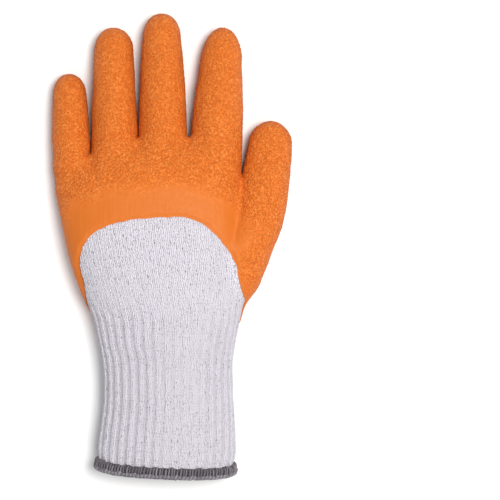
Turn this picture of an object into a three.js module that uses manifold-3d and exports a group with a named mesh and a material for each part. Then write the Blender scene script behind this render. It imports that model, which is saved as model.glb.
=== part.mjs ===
// A left-hand work glove with a dipped latex coating, lying palm down with its fingers along +Y, its thumb
// towards +X and the back of the hand up. Its pieces are the ribbed knit cuff, the knit of the palm and of the
// back of the hand, the latex skin over the palm and the knuckles, the five latex-coated digits, and the
// overlocked hem of the cuff's mouth.
// Lengths are in millimetres. The origin is under the middle of the glove.
import * as THREE from "three";
import { mergeVertices } from "three/addons/utils/BufferGeometryUtils.js";
import Module from "manifold-3d";

// Walls.
const KNIT_THICKNESS = 1.7; // from the crest of a rib to the inside of the liner
const LATEX_THICKNESS = 0.9;
const CLEARANCE = 0.3; // between pieces that touch

// The cuff, from the liner's edge to the wrist.
const CUFF_LENGTH = 71.5;
const CUFF_WIDTH = 69;
const CUFF_DEPTH = 28;
const RIB_COUNT = 36;
const RIB_DEPTH = 0.6;
const RIB_RUN_OUT = 22; // the ribs die away over this length past the wrist
const MOUTH_DIP = 3; // how far the mouth bows down at the middle of the back
const MOUTH_DIP_PALM = 1; // the same under the palm
const MOUTH_SLANT = 3; // how much higher the mouth is at its little-finger end
const MOUTH_FADE = 45; // the bow and the slant have died away this far up the cuff

// The hem, a roll of thread over the liner's edge.
const HEM_HEIGHT = 6; // from its lowest to its highest line
const HEM_OUTSIDE = 2; // how thick it is outside the knit
const HEM_INSIDE = 1; // how thick it is inside the knit
const HEM_LIP = 1; // how thick it is under the knit's edge

// The hand, from the wrist to the middle of the knuckle line.
const PALM_LENGTH = 104;
const PALM_WIDTH = 98;
const PALM_DEPTH = 30;
const HOLLOW_RISE = 5; // the underside arches up beside the thumb
const HOLLOW_RADIUS = 34;

// The digits. The middle finger is the longest one, and the index finger is the widest one at its root.
const FINGER_LENGTH = 66;
const FINGER_WIDTH = 0.265 * PALM_WIDTH; // so that the fingers stay apart
const FINGER_DEPTH = 22;
const FINGER_ROOT = 30; // how far below the knuckle line a finger's form starts
const THUMB_WIDTH = 0.255 * PALM_WIDTH; // so that the thumb stays apart from them
const THUMB_DEPTH = 22;

// Fineness of the forms.
const CUFF_STEPS = 4;
const PALM_STEPS = 10;
const PALM_POINTS = RIB_COUNT; // points round the hand; the cuff has a crest and a valley for each
const DIGIT_POINTS = 12;
const DIGIT_STEPS = 4;
const TIP_STEPS = 4;
const EDGE_STEPS = 24;

// Sections of the cuff and hand. along is a share of CUFF_LENGTH, or of PALM_LENGTH from the wrist. left and
// right are shares of CUFF_WIDTH or PALM_WIDTH from the cuff's middle line. top, mid and under are shares of
// CUFF_DEPTH or PALM_DEPTH: the highest line, the widest line, and how low the section would sag if nothing
// flattened it. bow is a share of PALM_LENGTH by which a section's two sides lie behind its middle.
const CUFF_SECTIONS = [
  { along: 0.0, left: 0.536, right: 0.494, top: 0.93, mid: 0.46, under: -0.1, bow: 0 },
  { along: 0.14, left: 0.54, right: 0.515, top: 0.96, mid: 0.46, under: -0.1, bow: 0 },
  { along: 0.27, left: 0.526, right: 0.512, top: 1.0, mid: 0.46, under: -0.1, bow: 0 },
  { along: 0.5, left: 0.499, right: 0.499, top: 1.03, mid: 0.46, under: -0.08, bow: 0 },
  { along: 0.75, left: 0.504, right: 0.491, top: 1.04, mid: 0.46, under: -0.06, bow: 0 },
];
const PALM_SECTIONS = [
  { along: 0.0, left: 0.384, right: 0.37, top: 0.97, mid: 0.44, under: -0.06, bow: 0 },
  { along: 0.08, left: 0.405, right: 0.394, top: 0.98, mid: 0.44, under: -0.06, bow: 0 },
  { along: 0.18, left: 0.449, right: 0.4, top: 0.99, mid: 0.43, under: -0.07, bow: 0 },
  { along: 0.3, left: 0.494, right: 0.396, top: 1.0, mid: 0.42, under: -0.08, bow: 0 },
  { along: 0.45, left: 0.536, right: 0.386, top: 1.0, mid: 0.41, under: -0.08, bow: 0.015 },
  { along: 0.62, left: 0.565, right: 0.383, top: 0.97, mid: 0.4, under: -0.08, bow: 0.04 },
  { along: 0.78, left: 0.587, right: 0.383, top: 0.9, mid: 0.38, under: -0.07, bow: 0.075 },
  { along: 0.88, left: 0.603, right: 0.383, top: 0.81, mid: 0.37, under: -0.05, bow: 0.1 },
  { along: 0.95, left: 0.607, right: 0.381, top: 0.69, mid: 0.36, under: 0.02, bow: 0.115 },
  { along: 0.985, left: 0.596, right: 0.37, top: 0.56, mid: 0.36, under: 0.14, bow: 0.12 },
  { along: 1.0, left: 0.56, right: 0.34, top: 0.44, mid: 0.36, under: 0.27, bow: 0.12 },
];
const WEB_START = 0.85; // the hand rounds off towards the webs between the fingers from here, along the palm
const SQUARENESS = 0.85; // 1 makes a section's halves elliptic, and less makes them squarer

// The fingers, little finger first. root and tip are shares of PALM_WIDTH from the cuff's middle line, reach
// is a share of FINGER_LENGTH, width, tipWidth and tipLength are shares of FINGER_WIDTH, and depth and tipDepth
// are shares of FINGER_DEPTH. The round tip starts tipLength from a finger's end.
const FINGER_DEPTHS = { depth: 1.04, tipDepth: 0.75 };
const LITTLE_DEPTHS = { depth: 0.88, tipDepth: 0.68 };
const FINGERS = [
  { root: -0.52, tip: -0.546, reach: 0.512, width: 0.7, tipWidth: 0.57, tipLength: 0.34, ...LITTLE_DEPTHS },
  { root: -0.29, tip: -0.302, reach: 0.885, width: 0.85, tipWidth: 0.69, tipLength: 0.41, ...FINGER_DEPTHS },
  { root: -0.026, tip: -0.04, reach: 1.0, width: 0.912, tipWidth: 0.69, tipLength: 0.45, ...FINGER_DEPTHS },
  { root: 0.243, tip: 0.297, reach: 0.885, width: 0.99, tipWidth: 0.75, tipLength: 0.64, ...FINGER_DEPTHS },
];

// The thumb: its middle line as shares of PALM_WIDTH and of PALM_LENGTH from the wrist, and its sizes as shares
// of THUMB_WIDTH and THUMB_DEPTH.
const THUMB_LINE = [
  { across: 0.237, along: 0.094 },
  { across: 0.335, along: 0.248 },
  { across: 0.428, along: 0.454 },
  { across: 0.499, along: 0.634 },
  { across: 0.529, along: 0.788 },
  { across: 0.567, along: 1.08 },
];
const THUMB = { width: 1.03, tipWidth: 0.84, tipLength: 0.47, depth: 1.05, tipDepth: 0.75 };
const TAPER_POWER = 2.6; // a digit keeps its width, then narrows towards its tip
const ROOT_SCALE = 0.75; // a digit's form starts slimmer than its root, inside the palm
const DIGIT_LIFT = 0.06; // the digits rest this much above the palm, so that no two forms share a plane
const DIGIT_MID = 0.44; // height of a digit's widest line, as a share of its depth
const DIGIT_SAG = 0.12; // how far a digit would sag below the surface that flattens it, as a share of its depth
const HOLLOW_CENTRE = { across: 0.2, along: 0.55 }; // shares of PALM_WIDTH and PALM_LENGTH

const SIDE_HEIGHT = 0.43; // where the palm's side meets the back of the hand, as a share of PALM_DEPTH

// Where the latex stops: along an arch on the back of the hand, and across the wrist under the palm. across is
// a share of PALM_WIDTH and along a share of PALM_LENGTH from the wrist.
const BACK_EDGE = [
  { across: -0.46, along: 0.02 },
  { across: -0.45, along: 0.18 },
  { across: -0.48, along: 0.355 },
  { across: -0.45, along: 0.455 },
  { across: -0.37, along: 0.53 },
  { across: -0.22, along: 0.575 },
  { across: -0.05, along: 0.592 },
  { across: 0.1, along: 0.592 },
  { across: 0.215, along: 0.547 },
  { across: 0.305, along: 0.46 },
  { across: 0.368, along: 0.357 },
  { across: 0.403, along: 0.223 },
  { across: 0.46, along: 0.1 },
];
const PALM_EDGE = [
  { across: -0.46, along: 0.1 },
  { across: -0.36, along: 0.07 },
  { across: -0.2, along: -0.01 },
  { across: -0.03, along: -0.065 },
  { across: 0.12, along: -0.08 },
  { across: 0.28, along: -0.04 },
  { across: 0.38, along: 0.03 },
  { across: 0.46, along: 0.12 },
];

// Where the digits leave the hand: straight from web to web, from the little finger's outer side to the
// thumb's. across is a share of PALM_WIDTH and along a share of PALM_LENGTH from the wrist.
const WEB_LINE = [
  { across: -0.8, along: 0.957 },
  { across: -0.423, along: 0.976 },
  { across: -0.168, along: 1.005 },
  { across: 0.11, along: 1.014 },
  { across: 0.41, along: 0.966 },
  { across: 0.399, along: 0.817 },
  { across: 0.8, along: 0.675 },
];

// The hem's cross-section, from its top outside, round its lip, to its top inside. up is a share of HEM_HEIGHT,
// out a share of HEM_OUTSIDE from the knit's outer face, and into a share of HEM_INSIDE from its inner face.
const HEM_SECTION = [
  { up: 1, out: 0 },
  { up: 0.95, out: 0.7 },
  { up: 0.5, out: 1 },
  { up: 0.1, out: 0.75 },
  { up: 0, out: 0 },
  { up: 0, into: 0 },
  { up: 0.2, into: 1 },
  { up: 0.9, into: 1 },
  { up: 1, into: 0 },
];

const DIGIT_NAMES = [
  "latex_little_finger",
  "latex_ring_finger",
  "latex_middle_finger",
  "latex_index_finger",
  "latex_thumb",
];

const WRIST = CUFF_LENGTH;
const KNUCKLES = WRIST + PALM_LENGTH;
const SKIN = CLEARANCE + LATEX_THICKNESS; // what the latex adds outside the liner
const OVERCUT = 10; // how far a cutting form runs past what it cuts
const wasm = await Module();
wasm.setup();

// A smooth curve through the rows of a table, for one column.
function smoothColumn(rows, column) {
  const places = Float32Array.from(rows, (row) => row.place);
  const values = Float32Array.from(rows, (row) => row[column]);
  const curve = new THREE.CubicInterpolant(places, values, 1);
  return (place) => curve.evaluate(place)[0];
}

// The sections of the cuff and hand in millimetres, as a function of the place along them.
function makeProfile() {
  const scaled = (start, length, width, depth) => (row) => ({
    place: start + row.along * length,
    left: row.left * width,
    right: row.right * width,
    top: row.top * depth,
    mid: row.mid * depth,
    under: row.under * depth,
    bow: row.bow * PALM_LENGTH,
  });
  const rows = [
    ...CUFF_SECTIONS.map(scaled(0, CUFF_LENGTH, CUFF_WIDTH, CUFF_DEPTH)),
    ...PALM_SECTIONS.map(scaled(WRIST, PALM_LENGTH, PALM_WIDTH, PALM_DEPTH)),
  ];
  const columns = Object.keys(rows[0]).filter((name) => name !== "place");
  const curves = columns.map((name) => [name, smoothColumn(rows, name)]);
  return (place) => Object.fromEntries(curves.map(([name, curve]) => [name, curve(place)]));
}
const profileAt = makeProfile();

// The lowest height that a face can have at a point: flat where the glove rests, with the palm's hollow.
function restHeight(x, y, outset) {
  const dx = x - HOLLOW_CENTRE.across * PALM_WIDTH;
  const dy = y - WRIST - HOLLOW_CENTRE.along * PALM_LENGTH;
  const fall = THREE.MathUtils.smoothstep(Math.hypot(dx, dy), 0, HOLLOW_RADIUS);
  return Math.max(SKIN - outset, 0) + HOLLOW_RISE * (1 - fall);
}

// A point on the cuff and hand. turn is 0 at the thumb side, a quarter on the back of the hand and three
// quarters under the palm. outset moves it out from the liner's outer face.
function bodyPoint(place, turn, outset) {
  const { left, right, top, mid, under, bow } = profileAt(place);
  const angle = 2 * Math.PI * turn;
  const side = Math.sign(Math.cos(angle)) * Math.abs(Math.cos(angle)) ** SQUARENESS;
  const lift = Math.sign(Math.sin(angle)) * Math.abs(Math.sin(angle)) ** SQUARENESS;
  const halfWidth = (right + left) / 2;
  const centre = (right - left) / 2;
  const x = centre + side * (halfWidth + outset);
  const fade = 1 - THREE.MathUtils.smoothstep(place, 0, MOUTH_FADE);
  const dip = (lift > 0 ? MOUTH_DIP : MOUTH_DIP_PALM) * Math.abs(lift);
  const slant = (MOUTH_SLANT * -x) / CUFF_WIDTH;
  const push = outset * THREE.MathUtils.smoothstep(place, WRIST + WEB_START * PALM_LENGTH, KNUCKLES);
  const y = place + push + (slant - dip) * fade - bow * (centre / halfWidth + side) ** 2;
  const z = SKIN + mid + lift * ((lift > 0 ? top - mid : mid - under) + outset);
  return new THREE.Vector3(x, y, Math.max(z, restHeight(x, y, outset)));
}

// The turns that space points evenly round the section at a place.
function evenTurns(place, count) {
  const fine = 16 * PALM_POINTS;
  const points = Array.from({ length: fine + 1 }, (_, i) => bodyPoint(place, i / fine, 0));
  const travelled = [0];
  for (let i = 1; i <= fine; i++) travelled.push(travelled[i - 1] + points[i].distanceTo(points[i - 1]));
  const curve = new THREE.LinearInterpolant(
    Float32Array.from(travelled),
    Float32Array.from(points, (_, i) => i / fine),
    1,
  );
  return Array.from({ length: count }, (_, i) => curve.evaluate((travelled[fine] * i) / count)[0]);
}

// How much of their depth the ribs have: all of it on the cuff, and none on the hand.
function ribShare(place) {
  return 1 - THREE.MathUtils.smoothstep(place, WRIST, WRIST + RIB_RUN_OUT);
}

// The places of the cuff and hand where a form has a ring: at the edge, from the hem's top to the wrist, and
// closer together towards the knuckles.
const PLACES = [
  0,
  ...Array.from({ length: CUFF_STEPS }, (_, i) => THREE.MathUtils.lerp(HEM_HEIGHT, WRIST, i / CUFF_STEPS)),
  ...Array.from({ length: PALM_STEPS + 1 }, (_, i) => {
    return WRIST + PALM_LENGTH * Math.sin((Math.PI / 2) * (i / PALM_STEPS));
  }),
];

// A ring round the cuff or hand. Where there are ribs, every second point of an outer face is in a valley.
function bodyRing(place, outset, ribDepth) {
  const onRibs = outset >= 0 && place < WRIST + RIB_RUN_OUT;
  const valley = onRibs ? ribDepth * ribShare(place) : 0;
  const turns = evenTurns(place, onRibs ? 2 * PALM_POINTS : PALM_POINTS);
  return turns.map((turn, i) => bodyPoint(place, turn, i % 2 ? outset - valley : outset));
}

// The cuff and hand from a place near the mouth to the knuckles.
function bodyForm(outset, start, ribDepth = 0) {
  const rings = [start, ...PLACES.filter((place) => place > start)].map((place) =>
    bodyRing(place, outset, ribDepth),
  );
  return loft(rings);
}

// The triangles between two rings, of which the second may have half as many points as the first.
function band(first, second, firstStart, secondStart) {
  const halves = first.length === 2 * second.length;
  return second.flatMap((_, i) => {
    const next = (i + 1) % second.length;
    const [c, d] = [secondStart + i, secondStart + next];
    if (!halves) return [firstStart + i, firstStart + next, d, firstStart + i, d, c];
    const [a, b, e] = [2 * i, 2 * i + 1, (2 * i + 2) % first.length].map((k) => firstStart + k);
    return [a, b, c, b, d, c, b, e, d];
  });
}

// The triangles that close a ring by joining its upper half to its lower half.
function zip(start, count) {
  return Array.from({ length: count / 2 }, (_, i) => {
    const [a, b, c, d] = [i, i + 1, count - 1 - i, (count - i) % count].map((k) => start + k);
    return [...(b === c ? [] : [a, b, c]), ...(a === d ? [] : [a, c, d])];
  }).flat();
}

// A closed form through rings of points. It starts with a fan, and ends with a fan to its nose if it has one.
function loft(rings, nose) {
  const starts = rings.map((_, i) => rings.slice(0, i).reduce((sum, ring) => sum + ring.length, 0));
  const vertices = rings.flat();
  const triangles = rings.slice(1).flatMap((ring, i) => band(rings[i], ring, starts[i], starts[i + 1]));
  const fan = (ring, start, hub, turned) => {
    vertices.push(hub);
    ring.forEach((_, i) => {
      const edge = [start + i, start + ((i + 1) % ring.length)];
      triangles.push(vertices.length - 1, ...(turned ? edge.reverse() : edge));
    });
  };
  const middle = rings[0].reduce((sum, p) => sum.add(p), new THREE.Vector3()).divideScalar(rings[0].length);
  fan(rings[0], starts[0], middle, true);
  if (nose) fan(rings.at(-1), starts.at(-1), nose, false);
  else triangles.push(...zip(starts.at(-1), rings.at(-1).length));
  return solidFrom(new THREE.BufferGeometry().setFromPoints(vertices).setIndex(triangles));
}

// A solid for joining and cutting, with its faces pointing out.
function solidFrom(geometry) {
  geometry.deleteAttribute("normal");
  geometry.deleteAttribute("uv");
  const merged = mergeVertices(geometry);
  const vertProperties = merged.attributes.position.array;
  const triVerts = Uint32Array.from(merged.index.array);
  const solid = new wasm.Manifold(new wasm.Mesh({ numProp: 3, vertProperties, triVerts }));
  if (solid.volume() > 0) return solid;
  return new wasm.Manifold(new wasm.Mesh({ numProp: 3, vertProperties, triVerts: triVerts.reverse() }));
}

// A digit's middle line in plan, and its sizes in millimetres.
function fingerShape(finger) {
  const root = new THREE.Vector3(finger.root * PALM_WIDTH, KNUCKLES - FINGER_ROOT, 0);
  const tip = new THREE.Vector3(finger.tip * PALM_WIDTH, KNUCKLES + finger.reach * FINGER_LENGTH, 0);
  return { line: new THREE.LineCurve3(root, tip), ...digitSizes(finger, FINGER_WIDTH, FINGER_DEPTH) };
}

function thumbShape() {
  const points = THUMB_LINE.map(
    (p) => new THREE.Vector3(p.across * PALM_WIDTH, WRIST + p.along * PALM_LENGTH, 0),
  );
  return { line: new THREE.CatmullRomCurve3(points), ...digitSizes(THUMB, THUMB_WIDTH, THUMB_DEPTH) };
}

function digitSizes(digit, width, depth) {
  return {
    width: digit.width * width,
    tipWidth: digit.tipWidth * width,
    tipLength: digit.tipLength * width,
    depth: digit.depth * depth,
    tipDepth: digit.tipDepth * depth,
  };
}

// A ring across a digit, round above and flat where it rests. scale shrinks it towards its middle line.
function digitRing(centre, ahead, width, depth, outset, scale) {
  const across = new THREE.Vector3(ahead.y, -ahead.x, 0);
  const mid = SKIN + depth * DIGIT_MID;
  return Array.from({ length: DIGIT_POINTS }, (_, i) => {
    const angle = (2 * Math.PI * i) / DIGIT_POINTS;
    const lift = Math.sin(angle);
    const reach = depth * (lift > 0 ? 1 - DIGIT_MID : DIGIT_MID + DIGIT_SAG) + outset;
    const p = centre.clone().addScaledVector(across, Math.cos(angle) * (width / 2 + outset) * scale);
    return p.setZ(Math.max(mid + lift * reach * scale, restHeight(p.x, p.y, outset) + DIGIT_LIFT));
  });
}

// A digit's form: a tapering tube and a round tip.
function digitForm(shape, outset) {
  const { line, width, tipWidth, tipLength, depth, tipDepth } = shape;
  const length = line.getLength();
  const tubeShare = 1 - tipLength / length;
  const rings = Array.from({ length: DIGIT_STEPS + 1 }, (_, i) => {
    const share = i / DIGIT_STEPS;
    const narrowing = share ** TAPER_POWER;
    const ahead = line.getTangentAt(share * tubeShare);
    return digitRing(
      line.getPointAt(share * tubeShare).addScaledVector(ahead, i ? 0 : -outset),
      ahead,
      THREE.MathUtils.lerp(width, tipWidth, narrowing),
      THREE.MathUtils.lerp(depth, tipDepth, narrowing),
      outset,
      i ? 1 : ROOT_SCALE,
    );
  });
  const shoulder = line.getPointAt(tubeShare);
  const ahead = line.getTangentAt(1);
  const noseAt = (share) => shoulder.clone().addScaledVector(ahead, share * (tipLength + outset));
  for (let i = 1; i < TIP_STEPS; i++) {
    const angle = ((Math.PI / 2) * i) / TIP_STEPS;
    rings.push(digitRing(noseAt(Math.sin(angle)), ahead, tipWidth, tipDepth, outset, Math.cos(angle)));
  }
  return loft(rings, noseAt(1).setZ(SKIN + tipDepth * DIGIT_MID));
}

// The whole glove as one closed form, from a place near the mouth to the fingertips.
function gloveForm(outset, start, ribDepth) {
  const digits = [...FINGERS.map(fingerShape), thumbShape()];
  return digits.reduce(
    (form, shape) => form.add(digitForm(shape, outset)),
    bodyForm(outset, start, ribDepth),
  );
}

// A point of a table that gives shares of the palm, in plan.
function onPalm(row) {
  return new THREE.Vector2(row.across * PALM_WIDTH, WRIST + row.along * PALM_LENGTH);
}

// Everything on the wrist's side of an edge.
function wristSide(points) {
  const side = PALM_WIDTH;
  const height = PALM_DEPTH + 2 * OVERCUT;
  const outline = [
    new THREE.Vector2(-side, points[0].y),
    ...points,
    new THREE.Vector2(side, points.at(-1).y),
    new THREE.Vector2(side, -CUFF_LENGTH),
    new THREE.Vector2(-side, -CUFF_LENGTH),
  ];
  const shape = new THREE.Shape(outline);
  const geometry = new THREE.ExtrudeGeometry(shape, { depth: height, bevelEnabled: false });
  return solidFrom(geometry.translate(0, 0, -OVERCUT));
}

function smoothEdge(rows) {
  return new THREE.SplineCurve(rows.map(onPalm)).getPoints(EDGE_STEPS);
}

// The hand, or with the clearance the hand and what lies next to it, without the digits.
function handSide(clearance = 0) {
  return wristSide(WEB_LINE.map((row) => onPalm(row).setY(onPalm(row).y + clearance)));
}

// A wall's palm side and its back, which part at mid height.
function halves(wall) {
  const height = SKIN + SIDE_HEIGHT * PALM_DEPTH;
  return { palm: wall.trimByPlane([0, 0, -1], CLEARANCE - height), back: wall.trimByPlane([0, 0, 1], height) };
}

function linerSolids() {
  const liner = gloveForm(0, 0, RIB_DEPTH).subtract(gloveForm(-KNIT_THICKNESS, -OVERCUT));
  const cuffSide = (place) => wristSide([new THREE.Vector2(0, place)]);
  const hand = liner.intersect(handSide()).subtract(cuffSide(WRIST + CLEARANCE));
  return { cuff: liner.intersect(cuffSide(WRIST)), ...halves(hand) };
}

function coatingSolids() {
  const skin = gloveForm(SKIN, 0).subtract(gloveForm(CLEARANCE, -OVERCUT)).intersect(handSide());
  const { palm, back } = halves(skin);
  return {
    palm: palm.subtract(wristSide(smoothEdge(PALM_EDGE))),
    knuckles: back.subtract(wristSide(smoothEdge(BACK_EDGE))),
  };
}

// The digits' walls, in which the latex and the knit under it are one, from the little finger to the thumb.
function digitSolids() {
  const wall = gloveForm(SKIN, 0).subtract(gloveForm(-KNIT_THICKNESS, -OVERCUT));
  const middleOf = (solid) => (solid.boundingBox().min[0] + solid.boundingBox().max[0]) / 2;
  const digits = wall.subtract(handSide(CLEARANCE)).decompose();
  return digits.sort((a, b) => middleOf(a) - middleOf(b));
}

// The hem is a groove-shaped ring over the liner's edge: down its outside, round the lip and up its inside.
function hemSolid() {
  const inner = -KNIT_THICKNESS - CLEARANCE;
  const bottom = -CLEARANCE - HEM_LIP;
  const section = HEM_SECTION.map((row) => ({
    place: bottom + row.up * HEM_HEIGHT,
    outset: row.into === undefined ? CLEARANCE + row.out * HEM_OUTSIDE : inner - row.into * HEM_INSIDE,
  }));
  section.push({ place: -CLEARANCE, outset: inner }, { place: -CLEARANCE, outset: CLEARANCE });
  const stations = evenTurns(0, PALM_POINTS).map((turn) =>
    section.map(({ place, outset }) => bodyPoint(place, turn, outset)),
  );
  const count = section.length;
  const triangles = stations.flatMap((station, i) =>
    band(station, station, i * count, ((i + 1) % stations.length) * count),
  );
  return solidFrom(new THREE.BufferGeometry().setFromPoints(stations.flat()).setIndex(triangles));
}

function pieceFrom(name, solid, colour, roughness) {
  const { vertProperties, triVerts, numProp } = solid.getMesh();
  const geometry = new THREE.BufferGeometry();
  geometry.setAttribute("position", new THREE.BufferAttribute(Float32Array.from(vertProperties), numProp));
  geometry.setIndex(new THREE.BufferAttribute(Uint32Array.from(triVerts), 1));
  geometry.computeVertexNormals();
  const material = new THREE.MeshStandardMaterial({ color: colour, roughness, metalness: 0 });
  const mesh = new THREE.Mesh(geometry, material);
  mesh.name = name;
  return mesh;
}

const KNIT_LOOK = [0xdad5dd, 0.95];
const LATEX_LOOK = [0xec7c34, 0.45];
const HEM_LOOK = [0x8a858c, 0.95];

const liner = linerSolids();
const coating = coatingSolids();
const digits = digitSolids();
const glove = new THREE.Group();
glove.name = "left_glove";
glove.add(
  pieceFrom("knit_cuff", liner.cuff, ...KNIT_LOOK),
  pieceFrom("knit_palm", liner.palm, ...KNIT_LOOK),
  pieceFrom("knit_back", liner.back, ...KNIT_LOOK),
  pieceFrom("latex_palm", coating.palm, ...LATEX_LOOK),
  pieceFrom("latex_knuckles", coating.knuckles, ...LATEX_LOOK),
  ...DIGIT_NAMES.map((name, i) => pieceFrom(name, digits[i], ...LATEX_LOOK)),
  pieceFrom("hem_overlock", hemSolid(), ...HEM_LOOK),
);

// The origin goes under the middle of the whole glove.
const box = new THREE.Box3().setFromObject(glove);
const middle = box.getCenter(new THREE.Vector3());
glove.position.set(-middle.x, -middle.y, -box.min.z);

export default glove;
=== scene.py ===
"""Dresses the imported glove.

The forms follow the part's own sizes, in millimetres, with y along the glove from its mouth. Each piece
goes into the frame in metres.
"""

import math

import bpy
import numpy as np
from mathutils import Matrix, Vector
from mathutils.bvhtree import BVHTree

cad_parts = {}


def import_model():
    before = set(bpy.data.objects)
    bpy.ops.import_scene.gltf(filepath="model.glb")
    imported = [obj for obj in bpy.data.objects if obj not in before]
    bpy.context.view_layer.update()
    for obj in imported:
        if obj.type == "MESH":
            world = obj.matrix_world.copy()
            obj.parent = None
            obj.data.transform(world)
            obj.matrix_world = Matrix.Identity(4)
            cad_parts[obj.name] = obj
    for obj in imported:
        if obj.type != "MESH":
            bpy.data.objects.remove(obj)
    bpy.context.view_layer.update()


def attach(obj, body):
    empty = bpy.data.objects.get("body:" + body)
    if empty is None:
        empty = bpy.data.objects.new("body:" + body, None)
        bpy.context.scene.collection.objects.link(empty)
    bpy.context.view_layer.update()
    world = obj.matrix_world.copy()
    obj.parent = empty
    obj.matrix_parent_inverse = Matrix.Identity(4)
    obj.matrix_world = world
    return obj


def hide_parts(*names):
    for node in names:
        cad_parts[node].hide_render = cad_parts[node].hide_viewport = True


MM = 0.001
SHIFT = np.array([-1.87, -118.97, 0.0])  # from the form's own place to the frame's, in millimetres

# The part's sizes, in millimetres.
KNIT, LATEX, CLEARANCE = 1.7, 0.9, 0.3
SKIN = CLEARANCE + LATEX
CUFF_LENGTH, CUFF_WIDTH, CUFF_DEPTH = 71.5, 69.0, 28.0
PALM_LENGTH, PALM_WIDTH, PALM_DEPTH = 104.0, 98.0, 30.0
WRIST, KNUCKLES = CUFF_LENGTH, CUFF_LENGTH + PALM_LENGTH
RIB_COUNT, RIB_RUN_OUT = 36, 22.0
MOUTH_DIP, MOUTH_DIP_PALM, MOUTH_SLANT, MOUTH_FADE = 3.0, 1.0, 3.0, 45.0
HEM_HEIGHT, HEM_OUTSIDE, HEM_INSIDE, HEM_LIP = 6.0, 2.0, 1.0, 1.0
HOLLOW_RISE, HOLLOW_RADIUS, HOLLOW_CENTRE = 5.0, 34.0, (0.2, 0.55)
FINGER_LENGTH, FINGER_WIDTH, FINGER_DEPTH, FINGER_ROOT = 66.0, 25.97, 22.0, 30.0
THUMB_WIDTH, THUMB_DEPTH = 24.99, 22.0
WEB_START, SQUARENESS, TAPER_POWER, ROOT_SCALE = 0.85, 0.85, 2.6, 0.75
DIGIT_LIFT, DIGIT_MID, DIGIT_SAG = 0.06, 0.44, 0.12
SIDE_HEIGHT = SKIN + 0.43 * PALM_DEPTH
EVEN_STEPS = 577

# The sections across the cuff and the hand: along, left, right, top, mid, under, bow.
CUFF_SECTIONS = [
    (0.0, 0.536, 0.494, 0.93, 0.46, -0.1, 0),
    (0.14, 0.54, 0.515, 0.96, 0.46, -0.1, 0),
    (0.27, 0.526, 0.512, 1.0, 0.46, -0.1, 0),
    (0.5, 0.499, 0.499, 1.03, 0.46, -0.08, 0),
    (0.75, 0.504, 0.491, 1.04, 0.46, -0.06, 0),
]
PALM_SECTIONS = [
    (0.0, 0.384, 0.37, 0.97, 0.44, -0.06, 0),
    (0.08, 0.405, 0.394, 0.98, 0.44, -0.06, 0),
    (0.18, 0.449, 0.4, 0.99, 0.43, -0.07, 0),
    (0.3, 0.494, 0.396, 1.0, 0.42, -0.08, 0),
    (0.45, 0.536, 0.386, 1.0, 0.41, -0.08, 0.015),
    (0.62, 0.565, 0.383, 0.97, 0.4, -0.08, 0.04),
    (0.78, 0.587, 0.383, 0.9, 0.38, -0.07, 0.075),
    (0.88, 0.603, 0.383, 0.81, 0.37, -0.05, 0.1),
    (0.95, 0.607, 0.381, 0.69, 0.36, 0.02, 0.115),
    (0.985, 0.596, 0.37, 0.56, 0.36, 0.14, 0.12),
    (1.0, 0.56, 0.34, 0.44, 0.36, 0.27, 0.12),
]
# The fingers: root, tip, reach, width, tip width, tip length, depth, tip depth.
FINGERS = {
    "little_finger": (-0.52, -0.546, 0.512, 0.7, 0.57, 0.34, 0.88, 0.68),
    "ring_finger": (-0.29, -0.302, 0.885, 0.85, 0.69, 0.41, 1.04, 0.75),
    "middle_finger": (-0.026, -0.04, 1.0, 0.912, 0.69, 0.45, 1.04, 0.75),
    "index_finger": (0.243, 0.297, 0.885, 0.99, 0.75, 0.64, 1.04, 0.75),
}
# The thumb's line in plan, across and along, then its width, tip width, tip length, depth and tip depth.
THUMB_LINE = [
    (0.237, 0.094), (0.335, 0.248), (0.428, 0.454), (0.499, 0.634), (0.529, 0.788), (0.567, 1.08),
]
THUMB = (1.03, 0.84, 0.47, 1.05, 0.75)

# Where the latex stops, and where the digits leave the hand, in shares of the palm: across, along.
BACK_EDGE = [
    (-0.46, 0.02), (-0.45, 0.18), (-0.48, 0.355), (-0.45, 0.455), (-0.37, 0.53), (-0.22, 0.575),
    (-0.05, 0.592), (0.1, 0.592), (0.215, 0.547), (0.305, 0.46), (0.368, 0.357), (0.403, 0.223),
    (0.46, 0.1),
]
PALM_EDGE = [
    (-0.46, 0.1), (-0.36, 0.07), (-0.2, -0.01), (-0.03, -0.065), (0.12, -0.08), (0.28, -0.04),
    (0.38, 0.03), (0.46, 0.12),
]
WEB_LINE = [
    (-0.8, 0.957), (-0.423, 0.976), (-0.168, 1.005), (0.11, 1.014), (0.41, 0.966), (0.399, 0.817),
    (0.8, 0.675),
]
DIGIT_LIMITS = [-41.4, -16.4, 10.8, 39.6]  # millimetres across, between one digit and the next

# Sizes and counts of the looks alone, in millimetres.
VOXEL = 0.45  # fineness of the coating's form
COATING_LIFT = 0.1  # how far the coating's form stands proud, before its grain
BAND_LOW, BAND_TOP = 2.5, 14.0  # width of the smooth band, down the sides of the arch and at its top
FADE_LOW, FADE_TOP = 2.0, 11.0  # width over which the grain starts beside that band
GRAIN_BACK, GRAIN_PALM, GRAIN_BAND = 0.36, 0.42, 0.04  # height of the grain
THINNING, THINNING_WIDTH = 0.8, 2.6  # of the coating towards its edge
TOOTH_LENGTH = 1.1  # of the coating's edge over the ribs of the palm
SKIRT = 1.0  # how far the coating's rim reaches in
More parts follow.
